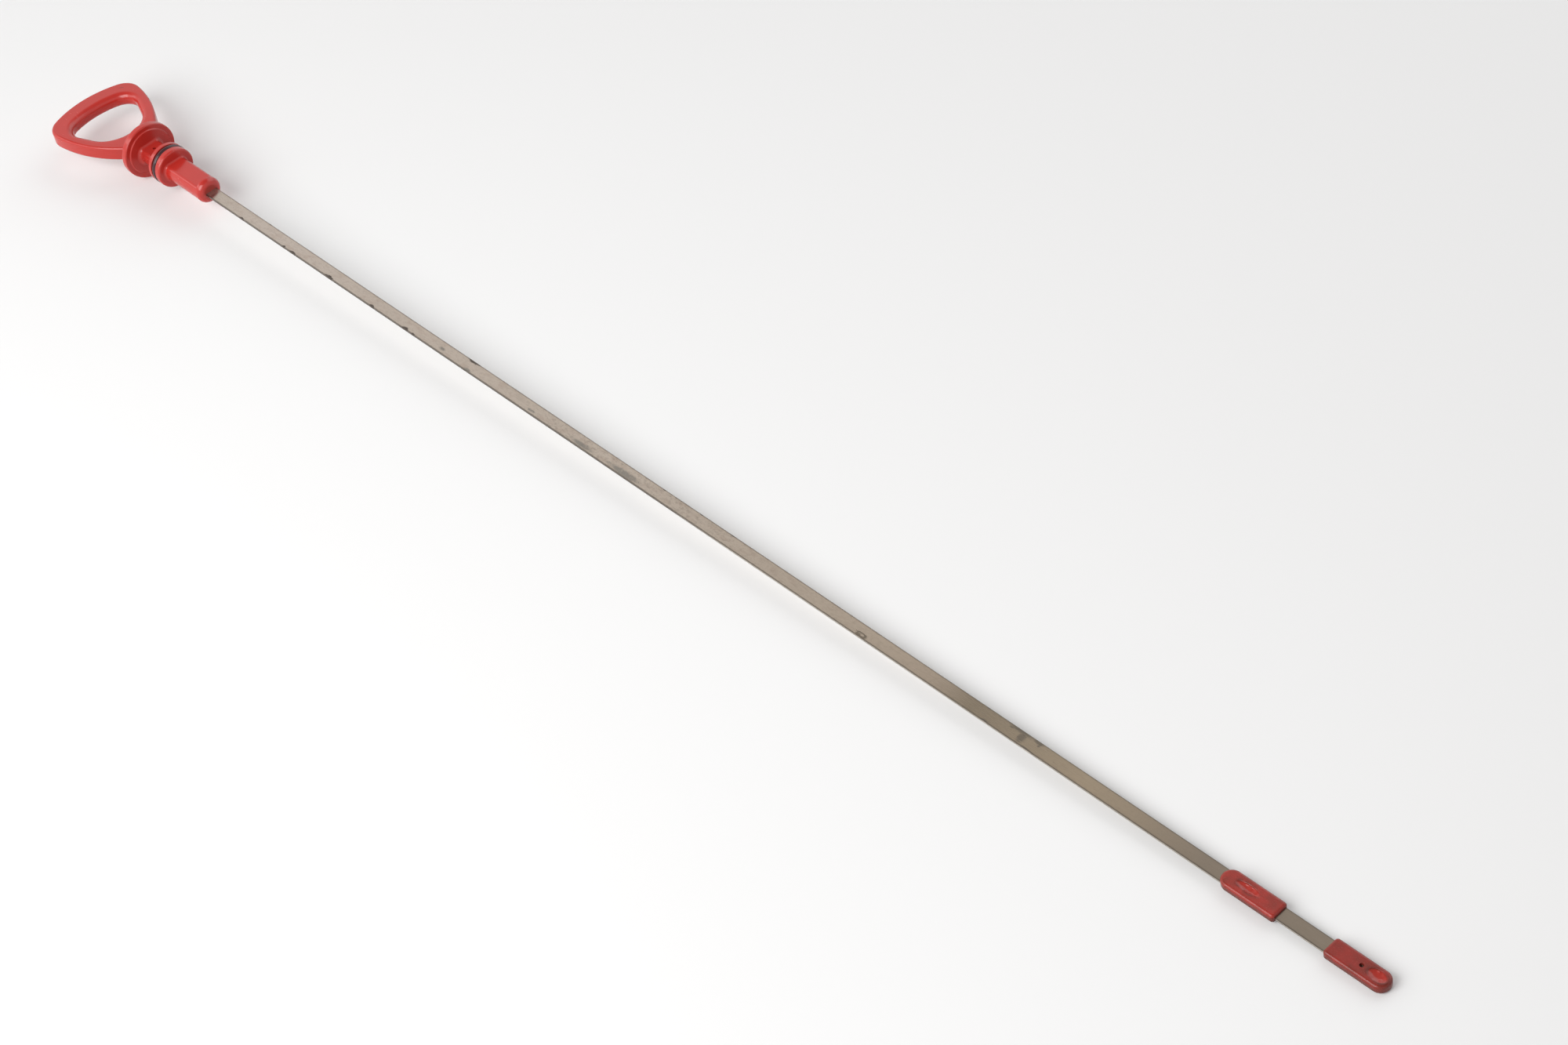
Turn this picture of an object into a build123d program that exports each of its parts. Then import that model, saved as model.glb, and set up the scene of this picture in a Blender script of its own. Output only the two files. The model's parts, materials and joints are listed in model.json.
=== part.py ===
"""Engine oil dipstick, lying at rest on a level surface.

A one-piece moulded handle (finger loop, flange, sealing collar and stem) is moulded round one end
of a flat steel strip.  A seal ring sits in the collar's groove, and two plastic markers moulded
round the strip's far end show the oil level.

All lengths are in millimetres.  Places along the stick are measured from the flange's seat face,
positive towards the tip.  The stick lies on two points: the flange's rim and the tip marker's end.
"""
from build123d import *

import os
from math import asin, atan2, copysign, cos, degrees, hypot, radians, sin, sqrt

# Flange with a raised seat face on its front side, inside a plain outer land
flange_radius = 12.0
flange_thickness = 3.4
flange_edge = 0.5
flange_back_edge = 1.2
outer_land = 2.0
seat_rise = 0.4
seat_step = 0.4

# Finger loop, a flat ring that lies in the plane of the strip
loop_reach = 49.8
loop_width = 42.4
loop_thickness = 6.2
loop_end_radius = 41.7
loop_corner_radius = 8.4
loop_shoulder_angle = 4.9
loop_end_bar = 8.6
loop_side_bar = 6.2
loop_hub_length = 11.4
loop_hub_width = 8.4
finger_hub_radius = 12.7
finger_corner_radius = 7.1
loop_outer_edge = 1.0
loop_inner_edge = 2.6

# Sealing collar, two lands with a groove between them
neck_length = 10.8
collar_radius = 8.5
upper_land = 1.9
groove_width = 2.75
groove_radius = 6.35
lower_land = 2.85
land_edge = 0.25
collar_nose = 0.8

# Seal ring in the groove
seal_section = 2.2
seal_clearance = 0.05

# Stem, round with a flat above and below, and a plain round end that stands a little proud
stem_radius = 5.3
stem_flat_height = 7.0
stem_length = 24.6
stem_end_radius = 5.45
stem_end_length = 3.0
stem_end_edge = 2.4
stem_corner = 1.6
neck_root_fillet = 1.5
stem_root_fillet = 1.0
locator_hole_radius = 0.7
locator_hole_place = 4.1
locator_hole_depth = 2.2

# Steel strip
strip_width = 5.2
strip_thickness = 0.9
strip_grip = 30.0

# Markers, with the full and the low level at their square ends
strip_free_length = 534.4
marker_width = 7.3
marker_thickness = 3.4
marker_edge = 1.0
marker_corner = 1.2
full_marker_length = 22.7
marker_gap = 18.8
tip_marker_length = 22.7
strip_tip_cover = 4.0

# Scoops and the locator hole in the markers' upper faces
scoop_depth = 0.75
full_scoop_length = 9.6
full_scoop_width = 3.2
full_scoop_place = 10.1
tip_scoop_length = 7.2
tip_scoop_width = 4.4
tip_scoop_from_tip = 4.7
tip_hole_radius = 0.75
tip_hole_place = 12.1

# Two faces this close along the stick count as one
face_tolerance = 0.01

# Places along the stick
flange_front = -seat_rise
flange_back = flange_front - flange_thickness
collar_start = neck_length
groove_start = collar_start + upper_land
groove_end = groove_start + groove_width
collar_end = groove_end + lower_land
stem_end = collar_end + stem_length
strip_start = stem_end - strip_grip
full_marker_start = stem_end + strip_free_length
full_marker_end = full_marker_start + full_marker_length
tip_marker_start = full_marker_end + marker_gap
tip_end = tip_marker_start + tip_marker_length
strip_end = tip_end - strip_tip_cover

# Rest: the one slope at which the flange's front edge and the tip's lower edge both touch the surface
edge_place = flange_front - flange_edge
edge_drop = flange_radius - flange_edge
rise = (marker_thickness / 2 - marker_edge) - edge_drop
run = (tip_end - marker_edge) - edge_place
slope = asin((flange_edge - marker_edge) / hypot(rise, run)) - atan2(rise, run)
seat_height = edge_drop * cos(slope) + edge_place * sin(slope) + flange_edge
seat_x = -(tip_end - loop_reach) / 2 * cos(slope)

seat = Vector(seat_x, 0, seat_height)
forward = Vector(cos(slope), 0, -sin(slope))
upward = Vector(sin(slope), 0, cos(slope))
sideways = Vector(0, 1, 0)
stick_axis = Axis(seat, forward)
# Local x runs along the stick, y sideways and z out of the strip's upper face
strip_plane = Plane(origin=seat, x_dir=forward, z_dir=upward)


def across(place):
    """Plane square to the stick at a place along it, with local x sideways and y upward."""
    return Plane(origin=seat + forward * place, x_dir=sideways, z_dir=forward)


def on_circle(centre, radius, angle):
    """Point of a circle in the plane of the strip, with the angle in degrees."""
    return (centre[0] + radius * cos(radians(angle)), centre[1] + radius * sin(radians(angle)))


def inside_corner(end_centre, end_radius, corner_radius, half_width):
    """Centre of a corner arc that runs smoothly into the end arc, and the angle where they meet."""
    height = half_width - corner_radius
    reach = end_radius - corner_radius
    centre = (end_centre - sqrt(reach**2 - height**2), height)
    return centre, 180 - degrees(asin(height / reach))


def stem_roots(part, place):
    """Edges where the stem leaves a face that is square to it at a place along the stick."""
    faces = part.faces().filter_by(across(place))
    faces = faces.filter_by_position(stick_axis, place - face_tolerance, place + face_tolerance)
    return ShapeList(edge for face in faces for wire in face.inner_wires() for edge in wire.edges())


def marker_plan(square_end, round_end):
    """Plan of a marker: half round at one end, square with small corners at the other."""
    way = copysign(1, round_end - square_end)
    round_centre = round_end - way * marker_width / 2
    with BuildSketch(strip_plane) as plan:
        with Locations(((square_end + round_centre) / 2, 0)):
            Rectangle(abs(round_centre - square_end), marker_width)
        square_side = plan.vertices().group_by(Axis.X)[0 if way > 0 else -1]
        fillet(square_side, marker_corner)
        with Locations((round_centre, 0)):
            Circle(marker_width / 2)
    return plan.sketch


def scoop(place, length, width):
    """Solid of revolution that hollows a shallow oval in a marker's upper face."""
    radius = (width**2 / 4 / scoop_depth + scoop_depth) / 2
    height = marker_thickness / 2 + radius - scoop_depth
    half_length = radius * length / width
    with BuildPart() as cutter:
        with BuildSketch(strip_plane.offset(height)):
            with Locations((place, 0)):
                Ellipse(half_length, radius)
            split(bisect_by=Plane.XZ)
        revolve(axis=Axis(seat + upward * height, forward))
    return cutter.part


# Outline of the loop: end arc, corner arcs and two bowed sides that run down to the hub
end_centre = loop_end_radius - loop_reach
half_width = loop_width / 2
corner, corner_angle = inside_corner(end_centre, loop_end_radius, loop_corner_radius, half_width)
shoulder_angle = 90 - loop_shoulder_angle
shoulder = on_circle(corner, loop_corner_radius, shoulder_angle)
shoulder_way = (cos(radians(loop_shoulder_angle)), -sin(radians(loop_shoulder_angle)))
hub_root = (flange_back + flange_edge, loop_hub_width / 2)

# Outline of the finger hole: end arc, corner arcs, straight sides and one round hub arc
hole_end_radius = loop_end_radius - loop_end_bar
hole_half_width = half_width - loop_side_bar
hole_corner, hole_corner_angle = inside_corner(
    end_centre, hole_end_radius, finger_corner_radius, hole_half_width
)
hub_centre = (flange_back - loop_hub_length - finger_hub_radius, 0)
span = hypot(hub_centre[0] - hole_corner[0], hole_corner[1])
lean = degrees(atan2(-hole_corner[1], hub_centre[0] - hole_corner[0]))
side_angle = 90 + lean + degrees(asin((finger_hub_radius - finger_corner_radius) / span))

with BuildPart() as gauge_strip:
    with BuildSketch(across(strip_start)):
        Rectangle(strip_width, strip_thickness)
    extrude(amount=strip_end - strip_start)

with BuildPart() as handle:
    # Ring of the finger loop
    with BuildSketch(strip_plane):
        with BuildLine():
            CenterArc((end_centre, 0), loop_end_radius, 180, corner_angle - 180)
            CenterArc(corner, loop_corner_radius, corner_angle, shoulder_angle - corner_angle)
            TangentArc(shoulder, hub_root, tangent=shoulder_way)
            Polyline(hub_root, (hub_root[0], 0), (-loop_reach, 0))
        make_face()
        mirror(about=Plane.XZ)
        with BuildLine():
            CenterArc((end_centre, 0), hole_end_radius, 180, hole_corner_angle - 180)
            CenterArc(hole_corner, finger_corner_radius, hole_corner_angle, side_angle - hole_corner_angle)
            Line(
                on_circle(hole_corner, finger_corner_radius, side_angle),
                on_circle(hub_centre, finger_hub_radius, side_angle),
            )
            CenterArc(hub_centre, finger_hub_radius, side_angle, -side_angle)
            Line((hub_centre[0] + finger_hub_radius, 0), (end_centre - hole_end_radius, 0))
        hole_half = make_face(mode=Mode.PRIVATE)
        add(hole_half, mode=Mode.SUBTRACT)
        add(hole_half.mirror(Plane.XZ), mode=Mode.SUBTRACT)
    extrude(amount=loop_thickness / 2, both=True)
    ring_faces = handle.faces().filter_by(strip_plane)
    rims = ShapeList(edge for face in ring_faces for edge in face.outer_wire().edges())
    fillet(rims - rims.filter_by(Axis.Y), loop_outer_edge)
    ring_faces = handle.faces().filter_by(strip_plane)
    bores = ShapeList(edge for face in ring_faces for wire in face.inner_wires() for edge in wire.edges())
    fillet(bores, loop_inner_edge)

    # Flange, with its back edge rounded more than the front edge that the stick rests on
    with BuildSketch(strip_plane):
        with BuildLine():
            Polyline(
                (flange_back, 0),
                (flange_back, flange_radius),
                (flange_front, flange_radius),
                (flange_front, flange_radius - outer_land),
                (0, flange_radius - outer_land - seat_step),
                (0, 0),
                close=True,
            )
        make_face()
        fillet(vertices().group_by(Axis.Y)[-1].sort_by(Axis.X)[-1], flange_edge)
        fillet(vertices().group_by(Axis.Y)[-1].sort_by(Axis.X)[0], flange_back_edge)
    revolve(axis=stick_axis)

    # Neck and stem in one run, flat above and below up to the round end
    with BuildSketch(across(flange_back / 2)):
        Circle(stem_radius)
        Rectangle(2 * stem_radius, stem_flat_height, mode=Mode.INTERSECT)
        fillet(vertices(), stem_corner)
    extrude(amount=stem_end - stem_end_length - flange_back / 2)
    fillet(stem_roots(handle, 0), neck_root_fillet)
    with BuildSketch(across(stem_end - stem_end_length)):
        Circle(stem_end_radius)
    extrude(amount=stem_end_length)
    fillet(handle.faces().sort_by(stick_axis)[-1].edges(), stem_end_edge)

    # Sealing collar: a thin land, the groove and a thick land with a rounded nose
    with BuildSketch(strip_plane):
        with BuildLine():
            Polyline(
                (collar_start, 0),
                (collar_start, collar_radius),
                (groove_start, collar_radius),
                (groove_start, groove_radius),
                (groove_end, groove_radius),
                (groove_end, collar_radius),
                (collar_end, collar_radius),
                (collar_end, 0),
                close=True,
            )
        make_face()
        land_corners = vertices().group_by(Axis.Y)[-1].sort_by(Axis.X)
        fillet(land_corners[:-1], land_edge)
        fillet(vertices().group_by(Axis.X)[-1].sort_by(Axis.Y)[-1], collar_nose)
    revolve(axis=stick_axis)
    fillet(stem_roots(handle, collar_end), stem_root_fillet)

    # Small moulding hole in the neck's upper flat
    with BuildSketch(strip_plane.offset(stem_flat_height / 2)):
        with Locations((locator_hole_place, 0)):
            Circle(locator_hole_radius)
    extrude(amount=-locator_hole_depth, mode=Mode.SUBTRACT)

    # The stem is moulded round the strip
    add(gauge_strip.part, mode=Mode.SUBTRACT)

with BuildPart() as seal_ring:
    with BuildSketch(strip_plane):
        with Locations(((groove_start + groove_end) / 2, groove_radius + seal_clearance + seal_section / 2)):
            Circle(seal_section / 2)
    revolve(axis=stick_axis)

full_scoop = scoop(full_marker_start + full_scoop_place, full_scoop_length, full_scoop_width)
with BuildPart() as full_marker:
    add(marker_plan(full_marker_end, full_marker_start))
    extrude(amount=marker_thickness / 2, both=True)
    fillet(full_marker.faces().filter_by(strip_plane).edges(), marker_edge)
    add(full_scoop, mode=Mode.SUBTRACT)
    add(gauge_strip.part, mode=Mode.SUBTRACT)

tip_scoop = scoop(tip_end - tip_scoop_from_tip, tip_scoop_length, tip_scoop_width)
with BuildPart() as tip_marker:
    add(marker_plan(tip_marker_start, tip_end))
    extrude(amount=marker_thickness / 2, both=True)
    fillet(tip_marker.faces().filter_by(strip_plane).edges(), marker_edge)
    add(tip_scoop, mode=Mode.SUBTRACT)
    with BuildSketch(strip_plane.offset(marker_thickness / 2)):
        with Locations((tip_marker_start + tip_hole_place, 0)):
            Circle(tip_hole_radius)
    extrude(amount=-marker_thickness / 2, mode=Mode.SUBTRACT)
    add(gauge_strip.part, mode=Mode.SUBTRACT)

pieces = {
    "handle": handle,
    "seal_ring": seal_ring,
    "gauge_strip": gauge_strip,
    "full_marker": full_marker,
    "tip_marker": tip_marker,
}
os.makedirs("parts", exist_ok=True)
for name, piece in pieces.items():
    piece.part.label = name
    export_step(piece.part, f"parts/{name}.step")
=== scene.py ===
"""Finishes, floor, light and camera for an engine oil dipstick that lies on a pale floor.

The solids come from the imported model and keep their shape. This file gives each of them the surface of
the real piece: glossy red mouldings, a black seal and a long steel strip with stains and flaked edges.
"""

import json
from math import asin, cos, radians, sin

import bmesh
import bpy
from bpy.props import FloatProperty, FloatVectorProperty, PointerProperty
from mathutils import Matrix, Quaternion, Vector


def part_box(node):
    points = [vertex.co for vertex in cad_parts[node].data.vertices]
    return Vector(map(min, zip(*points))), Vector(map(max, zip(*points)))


bl_info = {
    "name": "Oil dipstick finishes",
    "version": (1, 0, 0),
    "blender": (4, 5, 0),
    "location": "View3D > Sidebar > Dipstick",
    "description": "Gives a packed oil dipstick its surfaces, a pale floor, soft light and a camera",
    "category": "Object",
}

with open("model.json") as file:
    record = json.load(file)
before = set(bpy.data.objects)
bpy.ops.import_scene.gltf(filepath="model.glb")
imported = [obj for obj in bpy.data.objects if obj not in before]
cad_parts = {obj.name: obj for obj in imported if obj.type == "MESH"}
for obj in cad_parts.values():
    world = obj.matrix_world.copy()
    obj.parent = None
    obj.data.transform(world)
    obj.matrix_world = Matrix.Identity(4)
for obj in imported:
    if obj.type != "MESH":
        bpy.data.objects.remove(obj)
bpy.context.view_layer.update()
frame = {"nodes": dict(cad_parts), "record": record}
MM = 0.001

# The stick's own axes: along it from the flange's seat face, across the loop, and up out of the strip
MOUNTS = {mount["name"]: mount for mount in frame["record"]["mounts"]}
SEAT = Vector(MOUNTS["flange_seat"]["pos_m"]) * Vector((1, 0, 1))
FORWARD = Vector(MOUNTS["flange_seat"]["axis"])
SLOPE = asin(-FORWARD.z)


def along_of(node):
    """Places along the stick, in millimetres, where a node starts and ends."""
    return [(corner - SEAT).dot(FORWARD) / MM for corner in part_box(node)]


STRIP_HALF_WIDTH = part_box("gauge_strip")[1].y / MM
SEAL_START, SEAL_END = along_of("seal_ring")
STEM_END = along_of("handle")[1]
FULL_MARKER_START, FULL_MARKER_END = along_of("full_marker")
TIP_MARKER_START, TIP_MARKER_END = along_of("tip_marker")


class Shade:
    """An output socket of a node tree. Arithmetic on it adds Math nodes, and node adds any other node."""

    def __init__(self, tree, socket=None):
        self.tree = tree
        self.socket = socket

    def node(self, kind, sockets, out=0, stops=(), **settings):
        """Adds a node, sets it, then feeds its sockets by name or number, and gives one of its outputs."""
        made = self.tree.nodes.new(kind)
        for name, value in settings.items():
            setattr(made, name, value)
        for place, colour in stops:
            made.color_ramp.elements.new(place).color = (*colour, 1)
        if stops:
            made.color_ramp.elements.remove(made.color_ramp.elements[-1])
            made.color_ramp.elements.remove(made.color_ramp.elements[0])
        for name, value in sockets.items():
            if isinstance(value, Shade):
                self.tree.links.new(value.socket, made.inputs[name])
            else:
                made.inputs[name].default_value = value
        return Shade(self.tree, made.outputs[out] if made.outputs else None)

    def math(self, operation, *values):
        return self.node("ShaderNodeMath", dict(enumerate(values)), operation=operation)

    def __add__(self, other):
        return self.math("ADD", self, other)

    __radd__ = __add__

    def __sub__(self, other):
        return self.math("SUBTRACT", self, other)

    def __rsub__(self, other):
        return self.math("SUBTRACT", other, self)

    def __mul__(self, other):
        return self.math("MULTIPLY", self, other)

    __rmul__ = __mul__

    def __truediv__(self, other):
        return self.math("DIVIDE", self, other)

    def __rtruediv__(self, other):
        return self.math("DIVIDE", other, self)

    def __pow__(self, other):
        return self.math("POWER", self, other)

    def __abs__(self):
        return self.math("ABSOLUTE", self)


def step(value, low, high):
    """Smooth rise from 0 to 1 as a value goes from low to high."""
    sockets = {"Value": value, "From Min": low, "From Max": high}
    return value.node("ShaderNodeMapRange", sockets, interpolation_type="SMOOTHSTEP")


def fade(value, near, far):
    """Smooth fall from 1 to 0 as a value goes from near to far."""
    return 1 - step(value, near, far)


def least(first, *others):
    for other in others:
        first = first.math("MINIMUM", first, other)
    return first


def most(first, *others):
    for other in others:
        first = first.math("MAXIMUM", first, other)
    return first


def mixed(factor, low, high):
    """Colour that goes from low to high with a factor."""
    return factor.node("ShaderNodeMix", {0: factor, 6: low, 7: high}, out=2, data_type="RGBA")


def solid(colour, share=1.0):
    """Colour with its alpha, made lighter or darker by a share."""
    return (*(channel * share for channel in colour), 1)


def noise(place, size, stretch=(1, 1, 1), detail=2.0, rough=0.5):
    """Noise from 0 to 1 with patches of about a size in millimetres, stretched along the stick's axes."""
    scale = Vector((1 / (size * share) for share in stretch))
    sized = place.node("ShaderNodeVectorMath", {0: place, 1: scale}, operation="MULTIPLY")
    sockets = {"Vector": sized, "Scale": 1.0, "Detail": detail, "Roughness": rough}
    return place.node("ShaderNodeTexNoise", sockets)


def spot(along, across, place, offset, half_length, half_width):
    """Distance from the middle of an oval spot, 1 at its edge."""
    long_share = (along - place) / half_length
    wide_share = (across - offset) / half_width
    return (long_share * long_share + wide_share * wide_share) ** 0.5


class Surface:
    """A material's shader, with the stick's own coordinates in millimetres."""

    def __init__(self, material):
        material.use_nodes = True
        tree = material.node_tree
        tree.nodes.clear()
        start = Shade(tree)
        space = start.node("ShaderNodeTexCoord", {}, out="Object")
        turned = Quaternion((0, 1, 0), -SLOPE) @ (SEAT / MM)
        sockets = {"Vector": space, "Location": -turned, "Rotation": (0, -SLOPE, 0), "Scale": (1 / MM,) * 3}
        self.place = start.node("ShaderNodeMapping", sockets)
        self.along = self.place.node("ShaderNodeSeparateXYZ", {0: self.place}, out=0)
        self.across = Shade(tree, self.along.socket.node.outputs[1])
        self.above = Shade(tree, self.along.socket.node.outputs[2])

    def radius(self):
        """Distance from the stick's own axis."""
        return (self.across * self.across + self.above * self.above) ** 0.5

    def nearest(self, spots):
        """Distance from the nearest of some oval spots, 1 at its edge."""
        return least(*(spot(self.along, self.across, *place) for place in spots))

    def relief(self, height, depth):
        """Normal of a surface whose height from 0 to 1 is worth a depth in millimetres."""
        return height.node("ShaderNodeBump", {"Height": height, "Distance": depth * MM, "Strength": 1.0})

    def finish(self, **sockets):
        """Ends the shader in a Principled BSDF, whose sockets are named with underscores."""
        named = {name.replace("_", " "): value for name, value in sockets.items()}
        shader = self.place.node("ShaderNodeBsdfPrincipled", named)
        self.place.node("ShaderNodeOutputMaterial", {"Surface": shader})


def node_surface(*names):
    """Surface of the one material that these nodes of the model share."""
    materials = {frame["nodes"][name].material_slots[0].material for name in names}
    if len(materials) != 1:
        raise RuntimeError(f"{names} don't share one material")
    return Surface(materials.pop())


class HandleLook(bpy.types.PropertyGroup):
    """What a user would change on the handle's moulding."""

    red: FloatVectorProperty(
        name="Red",
        description="Colour of the clean moulding",
        subtype="COLOR",
        min=0,
        max=1,
        default=(0.48, 0.027, 0.0195),
    )
    # This colour paints the shade, with some dirt, in the neck and round the seal, and a darker share of it
    # the nick
    shade_and_grime: FloatVectorProperty(
        name="Grime",
        description="Colour of what has settled in the neck and round the seal",
        subtype="COLOR",
        min=0,
        max=1,
        default=(0.16, 0.014, 0.012),
    )
    roughness: FloatProperty(
        name="Roughness",
        description="Roughness of the moulding where it isn't rubbed",
        subtype="FACTOR",
        min=0,
        max=1,
        default=0.17,
    )


class SealLook(bpy.types.PropertyGroup):
    """What a user would change on the seal ring."""

    black: FloatVectorProperty(
        name="Black",
        description="Colour of the rubber",
        subtype="COLOR",
        min=0,
        max=1,
        default=(0.06, 0.022, 0.025),
    )
    roughness: FloatProperty(
        name="Roughness",
        description="Roughness of the oiled rubber",
        subtype="FACTOR",
        min=0,
        max=1,
        default=0.1,
    )


class StripLook(bpy.types.PropertyGroup):
    """What a user would change on the steel strip."""

    flake: FloatVectorProperty(
        name="Flaked spots",
        description="Colour of the dark spots where the edge has flaked",
        subtype="COLOR",
        min=0,
        max=1,
        default=(0.068, 0.051, 0.039),
    )
    smudge: FloatVectorProperty(
        name="Smudges",
        description="Colour of the dull grey smudges",
        subtype="COLOR",
        min=0,
        max=1,
        default=(0.21, 0.2, 0.18),
    )
    roughness: FloatProperty(
        name="Roughness",
        description="Roughness of the clean steel by the handle",
        subtype="FACTOR",
        min=0,
        max=1,
        default=0.2,
    )


class MarkerLook(bpy.types.PropertyGroup):
    """What a user would change on the two level markers."""

    red: FloatVectorProperty(
        name="Red",
        description="Colour of the oil-darkened moulding",
        subtype="COLOR",
        min=0,
        max=1,
        default=(0.34, 0.03, 0.021),
    )
    # Darker shares of this colour also paint shade on the markers' walls and darken the tip marker
    film_and_shade: FloatVectorProperty(
        name="Stain",
        description="Colour of the brown film on the markers",
        subtype="COLOR",
        min=0,
        max=1,
        default=(0.2, 0.026, 0.016),
    )
    roughness: FloatProperty(
        name="Roughness",
        description="Roughness of the worn moulding",
        subtype="FACTOR",
        min=0,
        max=1,
        default=0.2,
    )


class StageLook(bpy.types.PropertyGroup):
    """What a user would change on the floor, the light and the camera."""

    floor: FloatVectorProperty(
        name="Floor",
        description="Colour of the floor",
        subtype="COLOR",
        min=0,
        max=1,
        default=(0.83, 0.825, 0.82),
    )
    floor_reach: FloatProperty(
        name="Floor reach",
        description="Half the side of the floor",
        unit="LENGTH",
        min=1,
        default=8.0,
    )
    key_power: FloatProperty(
        name="Key light",
        description="Power of the large light on the near side",
        unit="POWER",
        min=0,
        default=15.0,
    )
    side_power: FloatProperty(
        name="Side light",
        description="Power of the low light beyond the loop",
        unit="POWER",
        min=0,
        default=2.5,
    )
    fill_power: FloatProperty(
        name="Fill light",
        description="Power of the large light on the far side",
        unit="POWER",
        min=0,
        default=6.0,
    )
    lens: FloatProperty(
        name="Lens",
        description="Focal length of the camera, in millimetres",
        subtype="DISTANCE_CAMERA",
        min=1,
        default=72.0,
    )
    azimuth: FloatProperty(
        name="Azimuth",
        description="Way the camera looks, turned from +Y towards +X",
        subtype="ANGLE",
        default=radians(-54.673),
    )
    elevation: FloatProperty(
        name="Elevation",
        description="How far the camera looks down",
        subtype="ANGLE",
        default=radians(44.048),
    )
    roll: FloatProperty(
        name="Roll",
        description="How far the camera is turned about its own view",
        subtype="ANGLE",
        default=radians(-11.594),
    )
    distance: FloatProperty(
        name="Distance",
        description="From the camera to the point of the floor in the middle of its view",
        unit="LENGTH",
        min=0.1,
        default=1.09744,
    )


# Depth of the fine relief on the mouldings and the steel, and on the rubber, in millimetres
RELIEF_DEPTH = 0.03
RUBBER_RELIEF_DEPTH = 0.006
HANDLE_IOR = 1.5
SEAL_IOR = 1.38
MARKER_IOR = 1.4

# Handle, in millimetres on the stick's axes. A pair is where a soft border starts and ends
# The neck and the groove by the seal get painted shade, with some dirt
NECK_FROM = (-0.6, 0.8)
NECK_TO = (SEAL_START - 2.3, SEAL_START - 1.7)
NECK_SHADE_RADIUS = (6.5, 10.5)
SEAL_MIDDLE = (SEAL_START + SEAL_END) / 2
SEAL_SHADE_REACH = (1.1, 1.6)
STEM_FACE_FROM = (STEM_END - 1.2, STEM_END - 0.3)
STEM_FACE_RADIUS = (2.2, 3.8)
HANDLE_SEAM = (0.03, 0.11)
# Nick in the loop: place along and across, sine of its slant of 45 degrees, and size
LOOP_NICK = (-42.6, 15.7)
NICK_SLANT = 0.707
NICK_HALF_LENGTH = 1.3
NICK_HALF_WIDTH = 0.22
NICK_BOW = 0.28
RUBBED_RED = (0.6, 0.1, 0.09)
# Colour of the painted shade on the stem's end face round the strip's exit
STEM_FACE_SHADE = (0.07, 0.035, 0.028)


def recess_shade_and_grime_mask(skin, clouds):
    """Mask of the painted shade, with some dirt, in the neck and round the seal."""
    in_neck = step(skin.along, *NECK_FROM) * fade(skin.along, *NECK_TO)
    in_neck = in_neck * fade(skin.radius(), *NECK_SHADE_RADIUS)
    by_seal = fade(abs(skin.along - SEAL_MIDDLE), *SEAL_SHADE_REACH)
    return most(0.25 * in_neck, by_seal) * step(clouds, 0.25, 0.7)


def loop_nick(skin):
    """Mask of the bowed nick in the loop's upper face."""
    ahead = skin.along - LOOP_NICK[0]
    aside = skin.across - LOOP_NICK[1]
    lengthwise = (ahead + aside) * NICK_SLANT
    bowed = (aside - ahead) * NICK_SLANT + NICK_BOW * lengthwise * lengthwise
    shape = spot(lengthwise, bowed, 0, 0, NICK_HALF_LENGTH, NICK_HALF_WIDTH)
    return fade(shape, 0.6, 1.0) * step(skin.above, 0, 1)


class DIPSTICK_OT_handle(bpy.types.Operator):
    """Finish the handle as a glossy red moulding with scuffs, a nicked loop, a seam drawn a little lighter
    as a painted highlight, and painted shade with some dirt in the neck, round the seal and round the
    strip's exit
    """

    bl_idname = "dipstick.handle"
    bl_label = "Finish the handle"

    def execute(self, context):
        look = context.scene.dipstick_handle
        skin = node_surface("handle")
        clouds = noise(skin.place, size=9.0, detail=3.0)
        peel = noise(skin.place, size=0.7, detail=1.0)
        scuffs = noise(skin.place, size=0.9, stretch=(3, 1, 1), detail=4.0, rough=0.6)
        rubbed = step(scuffs, 0.58, 0.75) * step(clouds, 0.42, 0.6)
        seam = fade(abs(skin.above), *HANDLE_SEAM)
        recess_shade_and_grime = recess_shade_and_grime_mask(skin, clouds)
        by_strip = step(skin.along, *STEM_FACE_FROM) * fade(skin.radius(), *STEM_FACE_RADIUS)
        nick = loop_nick(skin)

        red = mixed(clouds, solid(look.red, 0.93), solid(look.red, 1.07))
        red = mixed(0.1 * rubbed, red, solid(RUBBED_RED))
        # Painted highlight: the seam is drawn a little lighter than the moulding
        red = mixed(0.08 * seam, red, solid(look.red, 1.3))
        # Painted shade, with some dirt, in the neck and round the seal
        red = mixed(recess_shade_and_grime, red, solid(look.shade_and_grime))
        # Painted shade on the stem's end face round the strip's exit
        red = mixed(0.28 * by_strip, red, solid(STEM_FACE_SHADE))
        red = mixed(0.75 * nick, red, solid(look.shade_and_grime, 0.6))
        rough = look.roughness + 0.06 * clouds + 0.12 * rubbed + 0.15 * recess_shade_and_grime
        height = 0.12 * peel + 0.05 * seam - 0.1 * rubbed - nick
        relief = skin.relief(height, RELIEF_DEPTH)
        skin.finish(Base_Color=red, Roughness=rough, IOR=HANDLE_IOR, Normal=relief)
        return {"FINISHED"}


DUST = (0.11, 0.085, 0.075)


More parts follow.
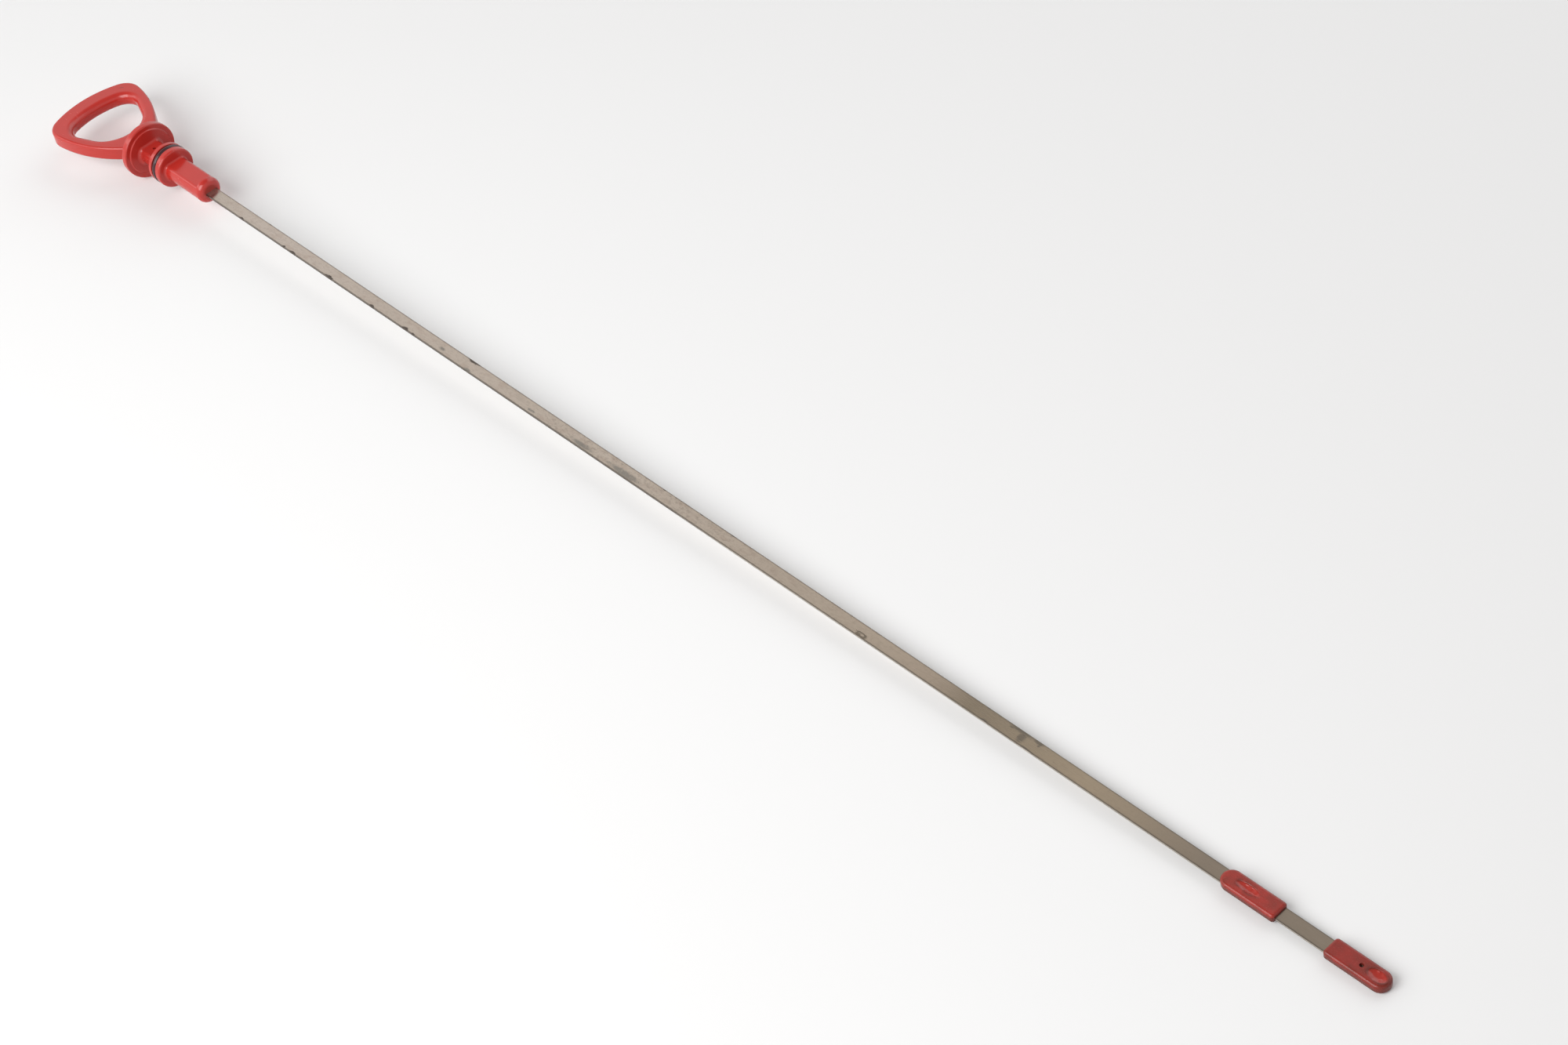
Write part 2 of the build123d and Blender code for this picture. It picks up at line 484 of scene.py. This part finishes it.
class DIPSTICK_OT_seal(bpy.types.Operator):
    """Finish the seal ring as oiled black rubber with a little dust"""

    bl_idname = "dipstick.seal"
    bl_label = "Finish the seal ring"

    def execute(self, context):
        look = context.scene.dipstick_seal
        skin = node_surface("seal_ring")
        film = noise(skin.place, size=3.0, detail=3.0)
        grain = noise(skin.place, size=0.2)
        dust = step(noise(skin.place, size=0.35), 0.62, 0.74)
        black = mixed(0.2 * dust, solid(look.black), solid(DUST))
        rough = look.roughness + 0.1 * film + 0.2 * dust
        relief = skin.relief(grain, RUBBER_RELIEF_DEPTH)
        skin.finish(Base_Color=black, Roughness=rough, IOR=SEAL_IOR, Normal=relief)
        return {"FINISHED"}


# Colour of the steel at places along it, from bright by the handle to brown by the tip: partly oil brown,
# partly painted shade and darker reflection towards the tip
STEEL_TONES = (
    (45.0, (0.53, 0.455, 0.39)),
    (90.0, (0.58, 0.5, 0.435)),
    (150.0, (0.55, 0.47, 0.4)),
    (310.0, (0.6, 0.51, 0.425)),
    (425.0, (0.5, 0.41, 0.32)),
    (452.0, (0.43, 0.345, 0.265)),
    (470.0, (0.25, 0.2, 0.14)),
    (520.0, (0.37, 0.29, 0.2)),
    (570.0, (0.23, 0.185, 0.14)),
)
# Flaked spots on the near and the far edge: place along the strip, half length and depth
NEAR_FLAKES = (
    (67.5, 1.3, 0.8),
    (95.8, 1.1, 1.0),
    (101.6, 2.3, 0.8),
    (125.3, 3.0, 1.2),
    (152.5, 2.0, 1.0),
    (173.5, 2.1, 1.1),
    (178.4, 1.3, 0.6),
)
FAR_FLAKES = (
    (80.5, 0.6, 0.4),
    (209.6, 4.2, 1.3),
    (316.9, 0.9, 0.5),
    (336.4, 1.1, 0.5),
    (352.7, 1.9, 0.5),
    (475.9, 0.9, 0.5),
)
# Dull smudges, dark stains and one brown scab: place along, offset across, half length and half width
SMUDGES = (
    (193.8, -0.6, 1.8, 0.8),
    (210.4, -2.1, 2.2, 0.8),
    (247.1, -1.2, 2.0, 0.5),
    (276.0, -1.2, 6.0, 1.1),
    (299.0, -1.1, 9.0, 1.3),
)
STAINS = (
    (490.5, 2.2, 5.5, 0.8),
    (492.5, 0.1, 1.5, 2.2),
    (498.3, 2.1, 2.4, 0.8),
    (499.2, 1.1, 0.5, 0.8),
    (487.1, 1.4, 0.8, 0.4),
    (478.3, -2.3, 1.7, 0.5),
    (496.7, -2.4, 2.6, 0.4),
)
SCAB = (420.4, -1.6, 2.7, 1.1)
# Soft borders along the strip: more pits in its middle, a blush before the oily end, and by the stem a less
# metallic film and a painted reflection of the red stem
PITTED_FROM = (225.0, 275.0)
PITTED_TO = (325.0, 385.0)
BLUSH_TO = (380.0, 460.0)
STEM_NEAR_TO = (STEM_END + 2.4, STEM_END + 4.7)
STEM_REFLECTION_FROM = (STEM_END + 2.2, STEM_END + 3.4)
# Soft borders across the strip, of its dark edges and of its narrow sides
EDGE_FROM = (STRIP_HALF_WIDTH - 0.5, STRIP_HALF_WIDTH - 0.2)
SIDE_FROM = (STRIP_HALF_WIDTH - 0.06, STRIP_HALF_WIDTH - 0.02)
# The narrow sides are dark up to a place that wanders along the strip, and beyond it bright with a painted
# reflection of the pale floor; their corners get painted shade
SIDE_REFLECTION_FROM = (315.0, 355.0)
SIDE_WANDER = 60.0
SIDE_MIDDLE = -0.08
SIDE_CORNER_SHADE = (0.1, 0.3)
PATCH_BROWN = (0.2, 0.165, 0.13)
GRAIN_PALE = (0.52, 0.46, 0.4)
BLUSH_BROWN = (0.4, 0.3, 0.24)
# Dark of the strip's top edges, also used for the painted shade at the corners of its narrow sides
EDGE_DARK = (0.12, 0.1, 0.08)
# Colour of the painted reflection of the red stem end in the steel
STEM_RED_REFLECTION = (0.2, 0.06, 0.06)
STAIN_DARK = (0.08, 0.066, 0.05)
SCAB_BROWN = (0.1, 0.075, 0.048)
SIDE_DARK = (0.16, 0.13, 0.1)
# Painted reflection of the pale floor on the narrow sides
SIDE_FLOOR_REFLECTION = (0.66, 0.59, 0.5)


def strip_share(place):
    """Share of the way from the stem's end to the stick's tip."""
    return (place - STEM_END) / (TIP_MARKER_END - STEM_END)


def flaked(skin, ragged, flakes, side):
    """Mask of the flaked spots on one edge of the strip, with ragged outlines."""
    depth_in = abs(STRIP_HALF_WIDTH - side * skin.across)
    shares = [spot(skin.along, depth_in, place, 0.0, half, depth) for place, half, depth in flakes]
    return fade(least(*shares) + 1.6 * (ragged - 0.5), 0.7, 0.95)


def scab_crust(skin, mottle):
    """Mask of the crust round the scab's paler middle."""
    scab = spot(skin.along, skin.across, *SCAB) + 1.5 * (mottle - 0.5)
    return fade(scab, 0.8, 1.0) * step(scab, 0.2, 0.55)


def aged_steel(skin, mottle, grain):
    """Colour of the steel along the strip, with dull patches, pits, grain and a brown blush."""
    share = strip_share(skin.along)
    stops = [(strip_share(place), tone) for place, tone in STEEL_TONES]
    patches = noise(skin.place, size=7.0, stretch=(4, 1, 1), detail=3.0)
    pitted = step(skin.along, *PITTED_FROM) * fade(skin.along, *PITTED_TO)
    pits = (0.19 + 0.25 * pitted) * step(mottle, 0.44, 0.7)
    blush = step(noise(skin.place, size=2.4, stretch=(2, 1, 1), detail=3.0), 0.48, 0.7)
    blush = blush * fade(skin.along, *BLUSH_TO)

    # Tones along the strip: partly oil brown, partly painted shade and darker reflection towards the tip
    steel = share.node("ShaderNodeValToRGB", {0: share}, stops=stops)
    steel = mixed(0.22 * patches, steel, solid(PATCH_BROWN))
    steel = mixed(pits, steel, solid(PATCH_BROWN))
    steel = mixed(0.14 * grain, steel, solid(GRAIN_PALE))
    return mixed(0.3 * blush, steel, solid(BLUSH_BROWN))


def narrow_sides(skin):
    """Colour of the strip's narrow sides: dark, then a painted reflection of the pale floor, with painted
    shade at their corners.
    """
    wander = SIDE_WANDER * (noise(skin.place, size=14.0) - 0.5)
    bright = step(skin.along + wander, *SIDE_REFLECTION_FROM)
    corner_shade = step(abs(skin.above - SIDE_MIDDLE), *SIDE_CORNER_SHADE)
    # Dark, then the painted reflection of the pale floor; the corners get painted shade
    side = mixed(bright, solid(SIDE_DARK), solid(SIDE_FLOOR_REFLECTION))
    return mixed(corner_shade, side, solid(EDGE_DARK))


class DIPSTICK_OT_strip(bpy.types.Operator):
    """Finish the gauge strip as worn steel, browner to the tip, with flakes, pits, smudges and stains"""

    bl_idname = "dipstick.strip"
    bl_label = "Finish the gauge strip"

    def execute(self, context):
        look = context.scene.dipstick_strip
        skin = node_surface("gauge_strip")
        ragged = noise(skin.place, size=1.1, detail=4.0, rough=0.65)
        mottle = noise(skin.place, size=0.95, stretch=(1.6, 1, 1), detail=4.0, rough=0.7)
        grain = noise(skin.place, size=0.22, stretch=(24, 1, 1))
        specks = step(noise(skin.place, size=0.45), 0.66, 0.76)
        edges = step(abs(skin.across) + 0.5 * (ragged - 0.5), *EDGE_FROM)
        by_stem = fade(skin.along, *STEM_NEAR_TO)
        stem_reflection = by_stem * step(skin.along, *STEM_REFLECTION_FROM)
        smears = fade(skin.nearest(SMUDGES) + 2.2 * (mottle - 0.5), 0.55, 1.1)
        stained = fade(skin.nearest(STAINS) + 1.5 * (ragged - 0.5), 0.45, 1.35)
        crust = scab_crust(skin, mottle)
        flakes = most(flaked(skin, ragged, NEAR_FLAKES, -1), flaked(skin, ragged, FAR_FLAKES, 1))
        on_side = step(abs(skin.across), *SIDE_FROM) * (1 - flakes)

        steel = aged_steel(skin, mottle, grain)
        steel = mixed(0.6 * edges, steel, solid(EDGE_DARK))
        steel = mixed(0.35 * specks, steel, solid(look.flake))
        # Painted reflection of the red stem end in the steel by the stem
        steel = mixed(0.65 * stem_reflection, steel, solid(STEM_RED_REFLECTION))
        steel = mixed(0.7 * smears * step(ragged, 0.2, 0.5), steel, solid(look.smudge))
        steel = mixed(0.7 * stained, steel, solid(STAIN_DARK))
        steel = mixed(0.9 * crust, steel, solid(SCAB_BROWN))
        steel = mixed(flakes, steel, solid(look.flake))
        # Narrow sides with a painted reflection of the floor and painted shade at their corners
        steel = mixed(on_side, steel, narrow_sides(skin))

        metal = 1 - 0.9 * most(flakes, crust, 0.6 * stained, 0.11 * by_stem)
        dull = most(flakes, 0.9 * crust, 0.35 * smears)
        oily = step(strip_share(skin.along), 0.4, 0.9)
        rough = look.roughness + 0.1 * oily + 0.08 * (grain - 0.5) + 0.35 * dull
        height = 0.12 * grain - 0.8 * flakes + 0.6 * crust * ragged
        relief = skin.relief(height, RELIEF_DEPTH)
        skin.finish(Base_Color=steel, Metallic=metal, Roughness=rough, Normal=relief)
        return {"FINISHED"}


# Scoops in the markers' upper faces: place along, offset across, half length and half width
SCOOPS = (
    (FULL_MARKER_START + 10.1, 0.0, 4.8, 1.6),
    (TIP_MARKER_END - 4.7, 0.0, 3.6, 2.2),
)
# Soft borders on the markers, in millimetres above the strip's middle, and along the stick at its tip
MARKER_SEAM = (0.02, 0.08)
MARKER_TOP_FROM = (0.3, 0.7)
# Painted shade on the markers' walls
MARKER_WALL_SHADE_TO = (0.5, 1.1)
# Painted shade towards the markers' bottoms
MARKER_LOWER_SHADE_TO = (-0.7, 0.3)
ROUND_TIP_FROM = (TIP_MARKER_END - 4.0, TIP_MARKER_END - 0.8)
# Colour of the painted shade towards the markers' bottoms
LOWER_SHADE_BROWN = (0.05, 0.032, 0.018)
PIT_RED = (0.36, 0.09, 0.06)


class DIPSTICK_OT_markers(bpy.types.Operator):
    """Finish the two level markers as worn red mouldings with a brown oil film, painted shade on their walls
    and towards their bottoms, and cleaner, glossy scoops
    """

    bl_idname = "dipstick.markers"
    bl_label = "Finish the markers"

    def execute(self, context):
        look = context.scene.dipstick_markers
        skin = node_surface("full_marker", "tip_marker")
        clouds = noise(skin.place, size=4.5, detail=4.0, rough=0.6)
        peel = noise(skin.place, size=0.6, detail=3.0)
        lumps = noise(skin.place, size=1.35, detail=0.0)
        seam = fade(abs(skin.above), *MARKER_SEAM)
        scoop = skin.nearest(SCOOPS)
        on_top = step(skin.above, *MARKER_TOP_FROM)
        inside = fade(scoop, 0.75, 1.0) * on_top
        outside = 1 - inside
        rim = fade(abs(scoop - 1.0), 0.08, 0.3) * step(clouds, 0.4, 0.6) * on_top
        film = step(clouds, 0.3, 0.75) * outside
        pits = step(noise(skin.place, size=0.35), 0.6, 0.75)
        at_tip = step(skin.along, FULL_MARKER_END, TIP_MARKER_START)
        before_end = fade(skin.along, *ROUND_TIP_FROM)
        # Painted shade on the walls, less at the tip's rounded end
        wall_shade = fade(skin.above, *MARKER_WALL_SHADE_TO) * before_end
        # Painted shade, darker towards the bottom, less at the tip's rounded end
        oiled = fade(skin.above + 0.8 * (clouds - 0.5), *MARKER_LOWER_SHADE_TO) * (0.4 + 0.6 * before_end)

        red = mixed(film, solid(look.red), solid(look.film_and_shade))
        # Painted shade on the walls, and the tip marker darker overall
        red = mixed(0.5 * most(0.42 * at_tip, wall_shade), red, solid(look.film_and_shade, 0.3))
        # Painted shade towards the bottom
        red = mixed(0.45 * oiled, red, solid(LOWER_SHADE_BROWN))
        red = mixed(0.15 * pits * outside, red, solid(PIT_RED))
        red = mixed(0.55 * rim, red, solid(look.film_and_shade, 0.55))
        red = mixed(0.6 * inside, red, solid(look.red, 1.2))
        rough = look.roughness + 0.12 * clouds + 0.1 * pits - 0.14 * inside
        height = (0.3 * peel - 0.35 * pits) * outside + 9.0 * lumps * inside + 0.4 * seam
        relief = skin.relief(height, RELIEF_DEPTH)
        skin.finish(Base_Color=red, Roughness=rough, IOR=MARKER_IOR, Normal=relief)
        return {"FINISHED"}


# Point of the floor where the camera looks, and the three soft lights, in metres
AIM = Vector((0.0605, 0.0222, 0))
KEY_PLACE = Vector((0.0, -0.95, 0.8))
KEY_SIZE = (1.0, 0.9)
KEY_AIM = Vector((-0.2, 0, 0))
SIDE_PLACE = Vector((-0.94, -0.91, 0.66))
SIDE_SIZE = (1.0, 0.4)
SIDE_AIM = Vector((-0.3, 0, 0))
FILL_PLACE = Vector((0.0, 1.2, 0.9))
FILL_SIZE = (1.6, 1.2)
FILL_AIM = Vector((0, 0, 0))
# Width of the camera's sensor, in millimetres
SENSOR_WIDTH = 36.0
# Share of plain white in the floor near the stick, and how far off, in metres, it turns all white
WHITE = (1, 1, 1)
WHITE_NEAR = 0.1
WHITE_FROM = (0.55, 1.15)
# Surround: dim on one side, bright on the other, and another grey overhead
SKY_BRIGHT = (0.95, 0.95, 0.95)
SKY_DIM = (0.15, 0.15, 0.152)
SKY_HIGH = (0.25, 0.25, 0.252)
SKY_BRIGHT_WAY = Vector((-0.95, 0.3, 0))
SKY_BRIGHT_FROM = (-0.8, 0.8)
SKY_HIGH_FROM = (0.6, 0.95)


def soft_light(name, power, size, place, aim):
    """Large rectangular light that faces a point."""
    data = bpy.data.lights.new(name, "AREA")
    data.shape = "RECTANGLE"
    data.size, data.size_y = size
    data.energy = power
    light = bpy.data.objects.new(name, data)
    light.location = place
    light.rotation_euler = (aim - place).to_track_quat("-Z", "Y").to_euler()
    bpy.context.scene.collection.objects.link(light)


def background_rays(start):
    """1 for the rays that show the background, straight to the camera or by way of metal or glass."""
    kinds = ("Camera", "Glossy", "Transmission")
    return most(*(start.node("ShaderNodeLightPath", {}, out=f"Is {kind} Ray") for kind in kinds))


def floor_material(colour):
    """Pale matt floor that takes shadows, and turns white to the eye far from the stick."""
    material = bpy.data.materials.new("floor_paper")
    material.use_nodes = True
    tree = material.node_tree
    tree.nodes.clear()
    start = Shade(tree)
    space = start.node("ShaderNodeTexCoord", {}, out="Object")
    away = space.node("ShaderNodeVectorMath", {0: space}, out="Value", operation="LENGTH")
    matt = start.node("ShaderNodeBsdfDiffuse", {"Color": solid(colour)})
    white = start.node("ShaderNodeEmission", {"Color": solid(WHITE), "Strength": 1.0})
    pale = background_rays(start) * (WHITE_NEAR + (1 - WHITE_NEAR) * step(away, *WHITE_FROM))
    both = start.node("ShaderNodeMixShader", {0: pale, 1: matt, 2: white})
    start.node("ShaderNodeOutputMaterial", {"Surface": both})
    return material


def add_floor(look):
    """Square floor under the stick."""
    shape = bmesh.new()
    bmesh.ops.create_grid(shape, x_segments=1, y_segments=1, size=look.floor_reach)
    mesh = bpy.data.meshes.new("floor")
    shape.to_mesh(mesh)
    shape.free()
    mesh.materials.append(floor_material(look.floor))
    floor = bpy.data.objects.new("floor", mesh)
    bpy.context.scene.collection.objects.link(floor)


def studio_sky(world):
    """Soft surround that lights mostly from one side, with a white backdrop that darkens overhead."""
    world.use_nodes = True
    tree = world.node_tree
    tree.nodes.clear()
    start = Shade(tree)
    way = start.node("ShaderNodeTexCoord", {}, out="Generated")
    up = way.node("ShaderNodeSeparateXYZ", {0: way}, out=2)
    ways = {0: way, 1: SKY_BRIGHT_WAY}
    lean = way.node("ShaderNodeVectorMath", ways, out="Value", operation="DOT_PRODUCT")
    glow = mixed(step(lean, *SKY_BRIGHT_FROM), solid(SKY_DIM), solid(SKY_BRIGHT))
    glow = mixed(background_rays(start), glow, solid(WHITE))
    glow = mixed(step(up, *SKY_HIGH_FROM), glow, solid(SKY_HIGH))
    shader = glow.node("ShaderNodeBackground", {"Color": glow, "Strength": 1.0})
    glow.node("ShaderNodeOutputWorld", {"Surface": shader})


def add_camera(look):
    """Camera that looks down at a point of the floor, turned a little about its own view."""
    data = bpy.data.cameras.new("camera")
    data.lens = look.lens
    data.sensor_width = SENSOR_WIDTH
    data.sensor_fit = "HORIZONTAL"
    camera = bpy.data.objects.new("camera", data)
    level = cos(look.elevation)
    view = Vector((sin(look.azimuth) * level, cos(look.azimuth) * level, -sin(look.elevation)))
    camera.location = AIM - view * look.distance
    turn = view.to_track_quat("-Z", "Y") @ Quaternion((0, 0, 1), look.roll)
    camera.rotation_euler = turn.to_euler()
    bpy.context.scene.collection.objects.link(camera)
    bpy.context.scene.camera = camera


class DIPSTICK_OT_stage(bpy.types.Operator):
    """Add the pale floor, the soft studio light and the camera"""

    bl_idname = "dipstick.stage"
    bl_label = "Set the stage"

    def execute(self, context):
        scene = context.scene
        look = scene.dipstick_stage
        add_floor(look)
        soft_light("key", look.key_power, KEY_SIZE, KEY_PLACE, KEY_AIM)
        soft_light("side", look.side_power, SIDE_SIZE, SIDE_PLACE, SIDE_AIM)
        soft_light("fill", look.fill_power, FILL_SIZE, FILL_PLACE, FILL_AIM)
        scene.world = bpy.data.worlds.new("studio")
        studio_sky(scene.world)
        add_camera(look)
        scene.view_settings.view_transform = "Standard"
        return {"FINISHED"}


OPERATORS = (
    DIPSTICK_OT_handle,
    DIPSTICK_OT_seal,
    DIPSTICK_OT_strip,
    DIPSTICK_OT_markers,
    DIPSTICK_OT_stage,
)
LOOKS = {
    "dipstick_handle": HandleLook,
    "dipstick_seal": SealLook,
    "dipstick_strip": StripLook,
    "dipstick_markers": MarkerLook,
    "dipstick_stage": StageLook,
}


class DIPSTICK_PT_panel(bpy.types.Panel):
    """Sidebar panel with the looks and the operators that use them"""

    bl_idname = "DIPSTICK_PT_panel"
    bl_label = "Oil dipstick"
    bl_space_type = "VIEW_3D"
    bl_region_type = "UI"
    bl_category = "Dipstick"

    def draw(self, context):
        for operator, name in zip(OPERATORS, LOOKS):
            box = self.layout.box()
            look = getattr(context.scene, name)
            for key in look.bl_rna.properties.keys():
                if key not in ("name", "rna_type"):
                    box.prop(look, key)
            box.operator(operator.bl_idname)


CLASSES = (*LOOKS.values(), *OPERATORS, DIPSTICK_PT_panel)


def register():
    for cls in CLASSES:
        bpy.utils.register_class(cls)
    for name, cls in LOOKS.items():
        setattr(bpy.types.Scene, name, PointerProperty(type=cls))


def unregister():
    for name in LOOKS:
        delattr(bpy.types.Scene, name)
    for cls in reversed(CLASSES):
        bpy.utils.unregister_class(cls)


def main():
    register()
    bpy.ops.dipstick.handle()
    bpy.ops.dipstick.seal()
    bpy.ops.dipstick.strip()
    bpy.ops.dipstick.markers()
    bpy.ops.dipstick.stage()


if __name__ == "__main__":
    main()
